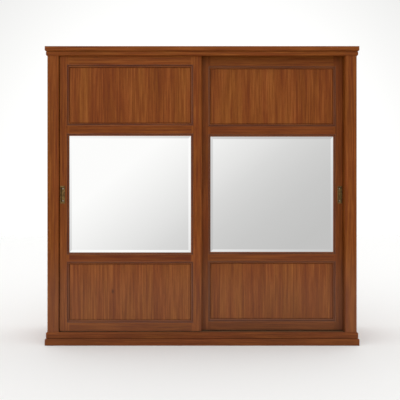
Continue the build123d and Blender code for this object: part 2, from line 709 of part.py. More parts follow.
def leaf_parts(name, leaf, openings, face, outer):
    """Every piece of one sliding door. outer is -1 where the outer stile is on the left, 1 on the right."""
    y = (face, face + LEAF_THICK)
    lane = face + LEAF_THICK / 2
    lower, middle, upper = openings
    widths = (LEAF_OUTER_STILE, LEAF_INNER_STILE)[::-outer]
    inner = (leaf[0] + widths[0], leaf[1] - widths[1])
    tongue_y = (face + PANEL_DEPTH, face + PANEL_DEPTH + PANEL_THICK)
    grooved = (inner[0] - GROOVE, inner[1] + GROOVE)
    pull_x = leaf[1] - PULL_INSET if outer > 0 else leaf[0] + PULL_INSET

    def stile(x, meeting):
        piece = board(x, y, (LEAF_BOTTOM, LEAF_TOP))
        front = piece.edges().filter_by(Axis.Z).group_by(Axis.Y)[0].sort_by(Axis.X)
        on_right = x[1] == leaf[1]
        piece = fillet(front[-1] if on_right else front[0], meeting)
        piece = piece - board(grooved, tongue_y, (LEAF_BOTTOM, LEAF_TOP))
        for rebate in rebates(inner, openings, face):
            piece = piece - rebate
        return piece

    def rail(z, groove_below, groove_above):
        piece = board(inner, y, z) + board(grooved, tongue_y, z)
        if groove_below:
            piece = piece - board(grooved, tongue_y, (z[0], z[0] + GROOVE))
        if groove_above:
            piece = piece - board(grooved, tongue_y, (z[1] - GROOVE, z[1]))
        for rebate in rebates(inner, openings, face):
            piece = piece - rebate
        return piece

    def infill(z, fielded=True):
        play = GROOVE - GROOVE_PLAY
        sheet = board((inner[0] - play, inner[1] + play), tongue_y, (z[0] - play, z[1] + play))
        if not fielded:
            return sheet
        x = (inner[0] + FIELD_INSET, inner[1] - FIELD_INSET)
        field_y = (tongue_y[0] - FIELD_RISE, tongue_y[0])
        return sheet + board(x, field_y, (z[0] + FIELD_INSET, z[1] - FIELD_INSET))

    meeting = MEETING_ROUND if outer < 0 else ARRIS
    left_stile = stile((leaf[0], inner[0]), OUTER_ROUND if outer < 0 else meeting)
    right_stile = stile((inner[1], leaf[1]), meeting if outer < 0 else OUTER_ROUND)
    outer_stile, inner_stile = (left_stile, right_stile) if outer < 0 else (right_stile, left_stile)
    outer_stile = drilled(outer_stile - pull_cutter(pull_x, face), pull_screws(pull_x, face))

    top_rail = rail((upper[1], LEAF_TOP), True, False)
    bottom_rail = rail((LEAF_BOTTOM, lower[0]), False, True)
    screws = list(pull_screws(pull_x, face))
    shoes = []
    for x in (leaf[0] + SHOE_INSET, leaf[1] - SHOE_INSET):
        top_rail = drilled(top_rail, shoe_screws(x, lane))
        shoes.append(guide_shoe(x, lane))
        screws += shoe_screws(x, lane)
    carriages = []
    axles = []
    parts = {}
    for x, place in zip(carriage_centres(leaf), ("left", "right")):
        length, width, height = CARRIAGE
        pocket = board(
            (x - length / 2, x + length / 2),
            (lane - width / 2, lane + width / 2),
            (LEAF_BOTTOM, LEAF_BOTTOM + height),
        )
        bottom_rail = drilled(bottom_rail - pocket, carriage_screws(x, lane))
        carriages.append(carriage(x, lane))
        axles.append(rod(AXLE, (x, lane - width / 2, AXLE_Z), (0, 1, 0), width))
        parts[f"{name}_{place}_wheel"] = wheel(x, lane)
        screws += carriage_screws(x, lane)

    parts.update({
        f"{name}_outer_stile": outer_stile,
        f"{name}_inner_stile": inner_stile,
        f"{name}_top_rail": top_rail,
        f"{name}_middle_rails": group([
            rail((lower[1], middle[0]), True, True),
            rail((middle[1], upper[0]), True, True),
        ]),
        f"{name}_bottom_rail": bottom_rail,
        f"{name}_upper_panel": infill(upper),
        f"{name}_lower_panel": infill(lower),
        f"{name}_panel_mouldings": panel_mouldings(inner, openings, face),
        f"{name}_mirror": mirror(inner, middle, face),
        f"{name}_mirror_backing": infill(middle, fielded=False),
        f"{name}_pull": flush_pull(pull_x, face),
        f"{name}_screws": group(screw(point, way) for point, way in screws),
        f"{name}_carriages": group(carriages),
        f"{name}_axles": group(axles),
        f"{name}_guide_shoes": group(shoes),
    })
    return parts


def armoire():
    """Every node of the armoire, by name."""
    parts = plinth_and_cornice()
    parts.update(carcass())
    parts["bottom_track"] = bottom_track()
    parts["guide_track"] = guide_track()
    parts["door_stops"] = door_stops()
    parts.update(leaf_parts("left_door", LEFT_LEAF, OPENINGS, LEFT_LEAF_FACE, -1))
    parts.update(leaf_parts("right_door", RIGHT_LEAF, OPENINGS, RIGHT_LEAF_FACE, 1))
    return parts


os.makedirs("parts", exist_ok=True)
nodes = armoire()
for node, shape in nodes.items():
    export_step(shape, f"parts/{node}.step")
print(len(nodes), "nodes written")
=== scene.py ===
# %% [markdown]
# # A two-door sliding armoire in stained cherry
#
# The real thing is a wide wardrobe: a face-framed cabinet on a moulded plinth, under a moulded
# cornice, with two framed doors that roll one behind the other. Each door has a bevelled mirror
# between two glued-up panels. Its boards, tracks and wheels come ready made as the fixed frame,
# in metres, so this lesson adds what a workshop adds last: mouldings run to a fine profile,
# brass pulls, nails, stain, lacquer, polish and light.

# %% Load the fixed frame
import math

import bmesh
import bpy
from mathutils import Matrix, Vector


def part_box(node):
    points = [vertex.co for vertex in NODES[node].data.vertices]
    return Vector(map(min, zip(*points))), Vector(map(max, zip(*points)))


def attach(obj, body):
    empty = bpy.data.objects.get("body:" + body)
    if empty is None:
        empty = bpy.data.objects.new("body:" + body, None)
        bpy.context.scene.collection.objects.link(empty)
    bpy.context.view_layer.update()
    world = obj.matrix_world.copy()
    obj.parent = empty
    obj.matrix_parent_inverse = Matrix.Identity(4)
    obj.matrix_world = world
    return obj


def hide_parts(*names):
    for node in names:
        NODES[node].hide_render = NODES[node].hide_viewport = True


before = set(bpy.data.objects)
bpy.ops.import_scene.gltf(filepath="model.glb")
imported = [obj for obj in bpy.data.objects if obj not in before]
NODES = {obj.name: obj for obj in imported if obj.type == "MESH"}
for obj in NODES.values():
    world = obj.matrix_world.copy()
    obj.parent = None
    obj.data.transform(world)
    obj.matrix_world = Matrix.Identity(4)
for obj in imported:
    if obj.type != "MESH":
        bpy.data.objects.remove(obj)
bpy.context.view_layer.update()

# %% [markdown]
# ## Small helpers
#
# Everything on the drawing is in millimetres and everything in Blender is in metres, so one
# constant turns one into the other. Colours are written as a paint maker would give them, in
# sRGB hex, and one function turns them to the linear values that light is added up in. Shader
# trees and geometry trees are both built from nodes, so a single function adds a node of any
# kind with its settings, its values and its links.

# %% Helpers: millimetres, colours and nodes
MM = 0.001


def colour(code):
    """The linear colour, with alpha 1, of an sRGB hex code."""
    parts = [int(code[i:i + 2], 16) / 255 for i in (1, 3, 5)]
    linear = [p / 12.92 if p <= 0.04045 else ((p + 0.055) / 1.055) ** 2.4 for p in parts]
    return (*linear, 1.0)


def add(tree, kind, values=None, **settings):
    """A new node. values maps an input's name or number to a value or another node's output."""
    node = tree.nodes.new(kind)
    for key, value in settings.items():
        setattr(node, key, value)
    for key, value in (values or {}).items():
        if isinstance(value, bpy.types.NodeSocket):
            tree.links.new(value, node.inputs[key])
        else:
            node.inputs[key].default_value = value
    return node


def ramp(tree, factor, stops):
    """A colour ramp through the given (position, colour) stops."""
    node = add(tree, "ShaderNodeValToRGB", {0: factor})
    elements = node.color_ramp.elements
    while len(elements) < len(stops):
        elements.new(1.0)
    for element, (position, stop) in zip(elements, stops):
        element.position = position
        element.color = stop
    return node.outputs["Color"]


print("helpers ready; mid stain is", [round(c, 3) for c in colour("#7d4424")])

# %% [markdown]
# ## The camera
#
# A wide piece of furniture is best seen straight on from a few metres away at about half its
# height, so that its uprights stay upright. A 50 mm lens on a 36 mm sensor does that without
# stretching the corners. The camera is level, which keeps the vertical lines from leaning.

# %% The camera
CAMERA_PLACE = (-0.015, -4.390, 1.065)
LENS_MM, SENSOR_MM = 50, 36

camera = bpy.data.objects.new("camera", bpy.data.cameras.new("camera"))
bpy.context.scene.collection.objects.link(camera)
camera.data.lens = LENS_MM
camera.data.sensor_width = SENSOR_MM
camera.location = CAMERA_PLACE
camera.rotation_euler = (math.radians(90), 0, 0)
bpy.context.scene.camera = camera
bpy.context.scene.view_settings.view_transform = "Standard"
print("camera at", tuple(camera.location))

# %% [markdown]
# ## The studio
#
# The room is a white cyclorama: a pale floor that runs up into a white background with no line
# between them. The light is soft and comes from everywhere. In front, more of it comes from the
# upper left, which the mirrors show as a slow change from white to light grey. Behind, more of
# it comes from above. A world shader that depends only on direction makes all of it. Each half
# of the room has two ramps: in front, one along the slope of the light and one for height, and
# behind, one for how nearly straight back a direction points and one for height. The two halves
# melt into each other at the sides.

# %% The world: white behind, a soft slope of light in front
PAPER_WHITE = (1.0, 1.0, 0.995)
TO_THE_LIGHT = (-1.0, 0.0, 1.25)  # the front light gets stronger this way
SLOPE_REACH = 0.3
SIDES = (-0.25, 0.2)  # the front half gives way to the back half between these values of Y
GLOW = 2.0


def grey(level):
    """A studio grey of this brightness, faintly warm as white paper is."""
    return (*(level * part for part in PAPER_WHITE), 1.0)


world = bpy.data.worlds.new("studio")
bpy.context.scene.world = world
world.use_nodes = True
sky = world.node_tree
sky.nodes.clear()
direction = add(sky, "ShaderNodeTexCoord").outputs["Generated"]
axes = add(sky, "ShaderNodeSeparateXYZ", {0: direction}).outputs
slope = add(sky, "ShaderNodeVectorMath", {0: direction, 1: TO_THE_LIGHT},
            operation="DOT_PRODUCT").outputs["Value"]
across = add(sky, "ShaderNodeMapRange",
             {0: slope, 1: -SLOPE_REACH, 2: SLOPE_REACH}).outputs[0]
in_front = ramp(sky, across, [
    (0.05, grey(0.60)), (0.22, grey(0.645)), (0.33, grey(0.695)), (0.44, grey(0.765)),
    (0.53, grey(0.85)), (0.72, grey(1.0)), (0.84, grey(1.08))])
behind = ramp(sky, axes["Y"], [
    (0.0, grey(1.05)), (0.6, grey(1.0)), (0.87, grey(0.87)), (0.89, grey(0.87)),
    (0.918, grey(0.95)), (0.945, grey(1.03))])
over_front = ramp(sky, axes["Z"], [
    (0.0, grey(0.5)), (0.42, grey(0.5)), (0.55, grey(0.46)), (1.0, grey(0.50))])
over_back = ramp(sky, axes["Z"], [
    (0.0, grey(0.5)), (0.42, grey(0.5)), (0.62, grey(0.70)), (1.0, grey(0.68))])
halves = [add(sky, "ShaderNodeMix", {0: 1.0, 6: round_it, 7: above},
              data_type="RGBA", blend_type="MULTIPLY").outputs[2]
          for round_it, above in ((in_front, over_front), (behind, over_back))]
to_back = add(sky, "ShaderNodeMapRange", {0: axes["Y"], 1: SIDES[0], 2: SIDES[1]},
              interpolation_type="SMOOTHSTEP").outputs[0]
light = add(sky, "ShaderNodeMix", {0: to_back, 6: halves[0], 7: halves[1]},
            data_type="RGBA").outputs[2]
glow = add(sky, "ShaderNodeBackground", {"Color": light, "Strength": GLOW})
add(sky, "ShaderNodeOutputWorld", {"Surface": glow.outputs[0]})
print("world nodes:", len(sky.nodes))

# %% The floor
FLOOR_CENTRE = Vector((0.0, 4.0, 0.0))
FLOOR_RADIUS = 10.5
FLOOR_FADE = (8.2, 10.4)  # the paper melts into the background between these distances

floor_mesh = bpy.data.meshes.new("floor")
shape = bmesh.new()
bmesh.ops.create_circle(shape, cap_ends=True, segments=96, radius=FLOOR_RADIUS)
bmesh.ops.translate(shape, verts=shape.verts, vec=FLOOR_CENTRE)
shape.to_mesh(floor_mesh)
shape.free()
floor = bpy.data.objects.new("floor", floor_mesh)
bpy.context.scene.collection.objects.link(floor)

paper = bpy.data.materials.new("white studio floor")
paper.use_nodes = True
tree = paper.node_tree
tree.nodes.clear()
place = add(tree, "ShaderNodeTexCoord").outputs["Object"]
away = add(tree, "ShaderNodeVectorMath", {0: place, 1: FLOOR_CENTRE},
           operation="DISTANCE").outputs["Value"]
fade = add(tree, "ShaderNodeMapRange", {0: away, 1: FLOOR_FADE[0], 2: FLOOR_FADE[1]},
           interpolation_type="SMOOTHSTEP").outputs[0]
matt = add(tree, "ShaderNodeBsdfDiffuse", {"Color": colour("#f3f3f3"), "Roughness": 0.3})
clear = add(tree, "ShaderNodeBsdfTransparent")
both = add(tree, "ShaderNodeMixShader", {0: fade, 1: matt.outputs[0], 2: clear.outputs[0]})
add(tree, "ShaderNodeOutputMaterial", {"Surface": both.outputs[0]})
floor_mesh.materials.append(paper)
print("floor radius", FLOOR_RADIUS, "m")

# %% [markdown]
# ## Stained cherry
#
# The doors and the cabinet are cherry, planed, stained a warm red-brown and finished with satin
# lacquer. The eye gets four things from it: long streaks along the grain, a slow drift
# between orange and red, a change of tone from board to board where a panel is glued up, and a
# soft sheen that is broken up a little by the open pores.
#
# Wood could be painted on with an image, but a solid pattern in space is truer: the same grain
# shows on the face and on the edge of a board. Noise stretched along one axis gives it. Nothing
# here has its true size: real annual rings are 1 to 3 mm apart and real pores a tenth of a
# millimetre wide, too fine to show from four metres. So the streaks are drawn 11 and 45 mm wide
# and the pores as flecks of 3.5 by 40 mm, as coarse as they have to be to show at all.

# %% The stained cherry recipe
GRAIN_TURNS = {"Z": (0, 0, 0), "X": (0, math.radians(90), 0)}
FINE_STREAK, BROAD_STREAK, DRIFT, PORE = (11, 300), (45, 700), (70, 420), (3.5, 40)  # in mm
NOISE = (0.3, 0.7)  # where nearly all values of a noise lie
FINE_TONE, BROAD_TONE = 0.26, 0.10
LACQUER_ROUGH = (0.42, 0.54)
LACQUER_IOR = 1.45
PORE_BROWN = colour("#3c1a0b")
KNOT_SIZE = (5 * MM, 13 * MM)  # solid to here, gone from there
PAINTED_SHEEN_HEIGHT = (0.8, 0.3)  # metres: none of the painted floor sheen above the first, all of it below the second
BOARD_WIDTH = 60 * MM
PANEL_BAND = 1.1  # metres: upper and lower panels fall in different bands of height
STAIN = {"deep": "#64290a", "body": "#7f4113", "light": "#9c5a26"}
DARK_STAIN = {"deep": "#5c290b", "body": "#753a11", "light": "#8f4f20"}
# Painted reflection: this pale grey-beige, mixed into the wood low down, stands for the white
# floor mirrored in the lacquer.
PAINTED_FLOOR_SHEEN = colour("#8e7f71")


def stretched(tree, coordinates, across, along, seed, **values):
    """Noise drawn out along the grain: across and along are the streaks' size in mm."""
    scale = (1000 / across, 1000 / across, 1000 / along)
    drawn = add(tree, "ShaderNodeVectorMath", {0: coordinates, 1: scale}, operation="MULTIPLY")
    moved = add(tree, "ShaderNodeVectorMath", {0: drawn.outputs[0], 1: (seed, seed * 1.7, 0)},
                operation="ADD")
    noise = add(tree, "ShaderNodeTexNoise", {"Vector": moved.outputs[0], "Scale": 1.0})
    for key, value in values.items():
        noise.inputs[key].default_value = value
    return noise.outputs["Fac"]


def spread(tree, source, low, high, to_low, to_high):
    """Maps one range of a value on to another."""
    return add(tree, "ShaderNodeMapRange",
               {0: source, 1: low, 2: high, 3: to_low, 4: to_high}).outputs[0]


def total(tree, *terms):
    """The sum of several values."""
    result = terms[0]
    for term in terms[1:]:
        result = add(tree, "ShaderNodeMath", {0: result, 1: term}, operation="ADD").outputs[0]
    return result


def stained_cherry(name, grain, seed, tone=0.0, boards=0.0, stain=STAIN, knot=None, tones_and_painted_light=(),
                   painted_sheen=0.1, gloss=0.15, polish=0.0):
    """Stained and lacquered cherry. grain is the axis it runs along, or the attribute that says.
    tone makes the piece darker or lighter, boards sets how much glued-up boards differ, and the
    list of heights gives (height in metres, change of tone) for the tone from there up; on the
    rails it makes the middle rails darker and paints the top rail lighter, as painted light
    against the cornice's shade. The next value is how much painted reflection of the white floor
    is mixed in near the floor, gloss is how strong the lacquer's shine is, and polish is how
    smooth the lacquer was rubbed."""
    material = bpy.data.materials.new(name)
    material.use_nodes = True
    tree = material.node_tree
    tree.nodes.clear()
    if grain in GRAIN_TURNS:
        source = add(tree, "ShaderNodeTexCoord").outputs["Object"]
        turn = GRAIN_TURNS[grain]
    else:
        source = add(tree, "ShaderNodeAttribute", attribute_name=grain).outputs["Vector"]
        turn = (0, 0, 0)
    along = add(tree, "ShaderNodeMapping", {"Vector": source, "Rotation": turn}).outputs[0]

    fine = stretched(tree, along, *FINE_STREAK, seed, Detail=3.0, Roughness=0.6)
    broad = stretched(tree, along, *BROAD_STREAK, seed + 3, Detail=2.0, Distortion=0.4)
    drift = stretched(tree, along, *DRIFT, seed + 7, Detail=2.0)
    pores = stretched(tree, along, *PORE, seed + 11, Detail=1.0)
    terms = [spread(tree, fine, *NOISE, -FINE_TONE, FINE_TONE),
             spread(tree, broad, *NOISE, -BROAD_TONE, BROAD_TONE), 0.5 + tone]
    place = add(tree, "ShaderNodeTexCoord").outputs["Object"]
    height = add(tree, "ShaderNodeSeparateXYZ", {0: place}).outputs["Z"]
    # Tone changes by height. On the rails the top one is painted lighter, as painted light against
    # the shade under the cornice.
    for start, change in tones_and_painted_light:
        above = add(tree, "ShaderNodeMath", {0: height, 1: start}, operation="GREATER_THAN")
        terms.append(spread(tree, above.outputs[0], 0.0, 1.0, 0.0, change))
    if boards:
        axes = add(tree, "ShaderNodeSeparateXYZ", {0: along}).outputs
        column = add(tree, "ShaderNodeMath", {0: axes["X"], 1: BOARD_WIDTH}, operation="DIVIDE")
        column = add(tree, "ShaderNodeMath", {0: column.outputs[0]}, operation="FLOOR").outputs[0]
        band = add(tree, "ShaderNodeMath", {0: axes["Z"], 1: PANEL_BAND}, operation="DIVIDE")
        band = add(tree, "ShaderNodeMath", {0: band.outputs[0]}, operation="FLOOR").outputs[0]
        cell = add(tree, "ShaderNodeCombineXYZ", {0: column, 1: band, 2: float(seed)}).outputs[0]
        each = add(tree, "ShaderNodeTexWhiteNoise", {"Vector": cell}).outputs
        terms.append(spread(tree, each["Value"], 0.0, 1.0, -boards, boards))
        drift = total(tree, drift, spread(tree, each["Value"], 0.0, 1.0, 0.08, -0.08))
    value = total(tree, *terms)
    colours = ramp(tree, value, [(0.12, colour(stain["deep"])), (0.5, colour(stain["body"])),
                                 (0.9, colour(stain["light"]))])
    redness = spread(tree, drift, 0.32, 0.68, 0.0, 1.0)
    redder = add(tree, "ShaderNodeMix",
                 {0: redness, 6: (0.98, 1.03, 0.93, 1.0), 7: (1.02, 0.96, 1.06, 1.0)},
                 data_type="RGBA").outputs[2]
    shade = add(tree, "ShaderNodeMix", {0: 1.0, 6: colours, 7: redder},
                data_type="RGBA", blend_type="MULTIPLY").outputs[2]
    pits = spread(tree, pores, 0.60, 0.72, 0.0, 0.22)
    if knot is not None:
        offset = add(tree, "ShaderNodeVectorMath", {0: source, 1: knot}, operation="SUBTRACT")
        flat = add(tree, "ShaderNodeVectorMath", {0: offset.outputs[0], 1: (1.0, 0.0, 0.6)},
                   operation="MULTIPLY").outputs[0]
        near = add(tree, "ShaderNodeVectorMath", {0: flat}, operation="LENGTH").outputs["Value"]
        pits = total(tree, pits, spread(tree, near, *KNOT_SIZE, 0.55, 0.0))
    shade = add(tree, "ShaderNodeMix", {0: pits, 6: shade, 7: PORE_BROWN},
                data_type="RGBA").outputs[2]
    # Painted reflection: towards the floor the colour is mixed with the pale grey-beige that
    # stands for the white floor seen in the lacquer.
    painted_sheen_mask = add(tree, "ShaderNodeMapRange",
                   {0: height, 1: PAINTED_SHEEN_HEIGHT[0], 2: PAINTED_SHEEN_HEIGHT[1], 4: painted_sheen},
                   interpolation_type="SMOOTHSTEP").outputs[0]
    shade = add(tree, "ShaderNodeMix", {0: painted_sheen_mask, 6: shade, 7: PAINTED_FLOOR_SHEEN},
                data_type="RGBA").outputs[2]

    relief = total(tree, spread(tree, fine, *NOISE, 0.0, 0.5),
                   spread(tree, pores, 0.58, 0.72, 0.0, -1.0))
    bump = add(tree, "ShaderNodeBump",
               {"Height": relief, "Strength": 0.25, "Distance": 0.3 * MM}).outputs[0]
    sheen = spread(tree, fine, *NOISE, *(rough - polish for rough in LACQUER_ROUGH))
    surface = add(tree, "ShaderNodeBsdfPrincipled", {
        "Base Color": shade, "Roughness": sheen, "Normal": bump, "IOR": LACQUER_IOR,
        "Specular IOR Level": gloss})
    add(tree, "ShaderNodeOutputMaterial", {"Surface": surface.outputs[0]})
    return material


def coat(material, *nodes):
    """Puts a material on the named parts of the frame."""
    for node in nodes:
        slots = NODES[node].material_slots
        if not slots:
            NODES[node].data.materials.append(material)
        for slot in slots:
            slot.material = material


print("stained cherry can run along", sorted(GRAIN_TURNS), "or along an attribute")

# %% [markdown]
# ## Choosing the wood
#
# A cabinet maker sorts the boards before cutting: uprights from one plank, rails from another,
# and the panels glued up from narrow boards that are mixed on purpose. So each family of pieces
# gets its own cut of the pattern. The right door's frame came from a darker plank. The sides are
# veneered, so they show no joints. The mouldings on the doors were rubbed smoother than the
# rest. The inside of the cabinet is the same wood, with less stain on it.

# %% The wood of each family of pieces
INSIDE_STAIN = {"deep": "#65381a", "body": "#7b4a26", "light": "#8f5d35"}
# Tone of the rails by height, in metres: darker from 0.4, back up from 1.0, and lighter from 1.8,
# where the top rails are painted lighter as painted light against the cornice's shade.
RAIL_TONES_AND_PAINTED_LIGHT = ((0.4, -0.22), (1.0, 0.14), (1.8, 0.14))  # each adds to the ones below it
# The right door's rails get only the painted light on the top rail.
DARK_RAIL_PAINTED_LIGHT = RAIL_TONES_AND_PAINTED_LIGHT[-1:]
RUBBED = {"gloss": 0.4, "polish": 0.16}
door_low, door_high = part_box("left_door_lower_panel")
knot_at = door_low.lerp(door_high, 0.36)
knot_at.z = door_low.z + 0.51 * (door_high.z - door_low.z)

uprights = stained_cherry("stained cherry uprights", "Z", 2.0, 0.03)
posts = stained_cherry("stained cherry posts", "Z", 3.0, -0.02)
cross_rails = stained_cherry("stained cherry rails", "X", 5.0, -0.04, tones_and_painted_light=RAIL_TONES_AND_PAINTED_LIGHT)
left_panels = stained_cherry("glued-up cherry panels left", "Z", 11.0, 0.04, boards=0.07,
                             knot=knot_at)
right_panels = stained_cherry("glued-up cherry panels right", "Z", 17.0, 0.06, boards=0.07)
dark_uprights = stained_cherry("darker cherry uprights", "Z", 23.0, stain=DARK_STAIN)
dark_rails = stained_cherry("darker cherry rails", "X", 29.0, 0.02, stain=DARK_STAIN,
                            tones_and_painted_light=DARK_RAIL_PAINTED_LIGHT)
side_boards = stained_cherry("cherry veneered sides", "Z", 31.0, -0.04)
top_boards = stained_cherry("glued-up cherry top", "X", 37.0, -0.05)
mouldings = stained_cherry("moulded cherry", "grain", 41.0)
door_mouldings = {
    "left_door": stained_cherry("polished moulded cherry", "grain", 61.0, -0.12, **RUBBED),
    "right_door": stained_cherry("darker polished moulded cherry", "grain", 59.0,
                                 stain=DARK_STAIN, **RUBBED)}
# The plinth gets less of the painted floor reflection.
foot_mouldings = stained_cherry("moulded cherry plinth", "grain", 53.0, stain=DARK_STAIN,
                                painted_sheen=0.035)
inside_uprights = stained_cherry("lightly stained cherry upright", "Z", 43.0,
                                 stain=INSIDE_STAIN)
inside_boards = stained_cherry("lightly stained cherry shelf", "X", 47.0, stain=INSIDE_STAIN)

coat(uprights, "left_door_outer_stile", "left_door_inner_stile")
coat(posts, "left_face_stile", "right_face_stile")
coat(cross_rails, "left_door_top_rail", "left_door_middle_rails", "left_door_bottom_rail",
     "cornice_rail", "plinth_front_rail")
coat(left_panels, "left_door_upper_panel", "left_door_lower_panel")
coat(right_panels, "right_door_upper_panel", "right_door_lower_panel")
coat(dark_uprights, "right_door_outer_stile", "right_door_inner_stile")
coat(dark_rails, "right_door_top_rail", "right_door_middle_rails", "right_door_bottom_rail")
coat(side_boards, "left_side_panel", "right_side_panel")
coat(top_boards, "top_panel")
coat(inside_uprights, "centre_partition")
coat(inside_boards, "bottom_panel", "hat_shelves", "plinth_bearers")
print("cherry on", sum(1 for n in NODES.values() if n.material_slots), "nodes; knot at",
      [round(v, 3) for v in knot_at])

# %% [markdown]
# ## Backs and backing boards
#
# The two thin backs, the strip over their joint and the boards behind the mirrors are
# hardboard: wood fibre pressed into a sheet, smooth and brown, with a fine mottle and no grain.
# Noise at the size of the fibre clumps, a few millimetres, gives the mottle, and a second noise
# gives the broad clouds that show where the sheet dried unevenly.


# %% Hardboard
def plain_finish(name, **values):
    """A material with one Principled shader, and that shader."""
    material = bpy.data.materials.new(name)
    material.use_nodes = True
    tree = material.node_tree
    tree.nodes.clear()
    surface = add(tree, "ShaderNodeBsdfPrincipled",
                  {key.replace("_", " "): value for key, value in values.items()})
    add(tree, "ShaderNodeOutputMaterial", {"Surface": surface.outputs[0]})
    return material, tree, surface


def mottled(tree, size, low, high, detail=3.0):
    """Even noise with clumps of this size in mm, mapped to a range."""
    place = add(tree, "ShaderNodeTexCoord").outputs["Object"]
    noise = add(tree, "ShaderNodeTexNoise",
                {"Vector": place, "Scale": 1000 / size, "Detail": detail}).outputs["Fac"]
    return spread(tree, noise, *NOISE, low, high)


hardboard, tree, surface = plain_finish("pressed hardboard", Roughness=0.7)
fibres = mottled(tree, 6, 0.0, 1.0)
clouds = mottled(tree, 90, 0.0, 1.0)
mixed = add(tree, "ShaderNodeMath", {0: fibres, 1: clouds}, operation="MULTIPLY").outputs[0]
tree.links.new(ramp(tree, mixed, [(0.0, colour("#6b4a33")), (1.0, colour("#8b6547"))]),
               surface.inputs["Base Color"])
bumps = add(tree, "ShaderNodeBump", {"Height": fibres, "Strength": 0.3, "Distance": 0.2 * MM})
tree.links.new(bumps.outputs[0], surface.inputs["Normal"])
coat(hardboard, "back_panels", "back_joint_strip", "left_door_mirror_backing",
     "right_door_mirror_backing")
print("hardboard on the backs and behind the mirrors")

# %% [markdown]
# ## Mirror glass
#
# A mirror is clear float glass with silver behind it. The glass adds a trace of green and takes
# a little of the light; the silver does the rest. Treating the sheet as one polished metal of
# that colour looks the same as tracing light through 6 mm of glass, and leaves no noise. The
# bevel is in the shape, and it needs one more thing: the glass over the silver is a wedge there,
# a prism, which bends light towards its thick side. So a bevel shows the room as if it leaned
# the other way, about half as far. Turning the surface's direction over by that share does it. A
# mirror that has been wiped by hand is not perfectly even, so its gloss varies by a hair.

# %% Mirror glass
PRISM_SHARE = 0.55  # near the 0.52 that a thin wedge with an index of 1.52 would give

silvered, tree, surface = plain_finish(
    "silvered mirror glass", Metallic=1.0, Base_Color=colour("#f4f4f4"))
tree.links.new(mottled(tree, 260, 0.004, 0.02), surface.inputs["Roughness"])
facing = add(tree, "ShaderNodeNewGeometry").outputs["Normal"]
wedge = (-PRISM_SHARE, 1.0, -PRISM_SHARE)
leaning = add(tree, "ShaderNodeVectorMath", {0: facing, 1: wedge},
              operation="MULTIPLY").outputs[0]
leaning = add(tree, "ShaderNodeVectorMath", {0: leaning}, operation="NORMALIZE").outputs[0]
tree.links.new(leaning, surface.inputs["Normal"])
coat(silvered, "left_door_mirror", "right_door_mirror")
glass_low, glass_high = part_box("left_door_mirror")
print("mirrors", [round(v, 3) for v in glass_high - glass_low])

# %% [markdown]
# ## Metals
#
# Five metals are on the cabinet. The flush pulls are antique brass: cast, polished, darkened
# with a patina and then rubbed, so it stays dark in the hollows and comes up yellow where
# fingers touch. The tracks are extruded aluminium anodised a bronze brown, brushed along their
# length. The carriages are zinc-plated steel with its faint crystal spangle, the screws plain
# zinc, and the hanging rails bright chromed tube.


# %% Metals
def metal(name, dark, light, size, rough, bump=0.0):
    """A metal whose colour and gloss vary between two values over clumps of this size in mm."""
    material, tree, surface = plain_finish(name, Metallic=1.0)
    patches = mottled(tree, size, 0.0, 1.0, detail=4.0)
    tree.links.new(ramp(tree, patches, [(0.15, colour(dark)), (0.85, colour(light))]),
                   surface.inputs["Base Color"])
    tree.links.new(spread(tree, patches, 0.0, 1.0, rough[1], rough[0]),
                   surface.inputs["Roughness"])
    if bump:
        raised = add(tree, "ShaderNodeBump",
                     {"Height": patches, "Strength": 0.3, "Distance": bump * MM})
        tree.links.new(raised.outputs[0], surface.inputs["Normal"])
    return material


antique_brass = metal("antique brass", "#5c452b", "#7e653d", 14, (0.30, 0.48), 0.1)
zinc_plate = metal("zinc-plated steel", "#6c6f72", "#8d9093", 5, (0.34, 0.46))
bright_zinc = metal("bright zinc screws", "#8f9092", "#c9c9c7", 3, (0.24, 0.36))
chrome = metal("chromed steel tube", "#c9cbcd", "#dedfe0", 60, (0.05, 0.10))

bronze, tree, surface = plain_finish("bronze anodised aluminium", Metallic=1.0)
place = add(tree, "ShaderNodeTexCoord").outputs["Object"]
lengthwise = add(tree, "ShaderNodeMapping",
                 {"Vector": place, "Rotation": GRAIN_TURNS["X"]}).outputs[0]
brushed = stretched(tree, lengthwise, 0.8, 120, 3.0, Detail=2.0)
tree.links.new(ramp(tree, brushed, [(0.3, colour("#7d5d45")), (0.7, colour("#9a785b"))]),
               surface.inputs["Base Color"])
tree.links.new(spread(tree, brushed, *NOISE, 0.42, 0.58), surface.inputs["Roughness"])

coat(zinc_plate, "left_door_carriages", "right_door_carriages")
coat(bright_zinc, "cabinet_screws", "left_door_screws", "right_door_screws", "shelf_pins",
     "left_door_axles", "right_door_axles")
coat(chrome, "hanging_rails", "hanging_rail_sockets")
coat(bronze, "bottom_track", "guide_track")
print("metals:", [made.name for made in (antique_brass, zinc_plate, bright_zinc, chrome, bronze)])

# %% [markdown]
# ## Nylon and rubber
#
# The guide shoes are moulded nylon: off-white, waxy, with light going a little way in. The
# wheels are nylon too, filled with graphite so that they run quietly, which makes them dark. The
# stops are black rubber with a dull, dusty skin.


# %% Nylon and rubber
def moulded(name, dark, light, size, rough_size, rough, **values):
    """A moulded plastic or rubber: colour and gloss vary over clumps of these sizes in mm."""
    material, tree, surface = plain_finish(name, **values)
    patches = mottled(tree, size, 0.0, 1.0)
    tree.links.new(ramp(tree, patches, [(0.0, colour(dark)), (1.0, colour(light))]),
                   surface.inputs["Base Color"])
    tree.links.new(mottled(tree, rough_size, *rough), surface.inputs["Roughness"])
    return material


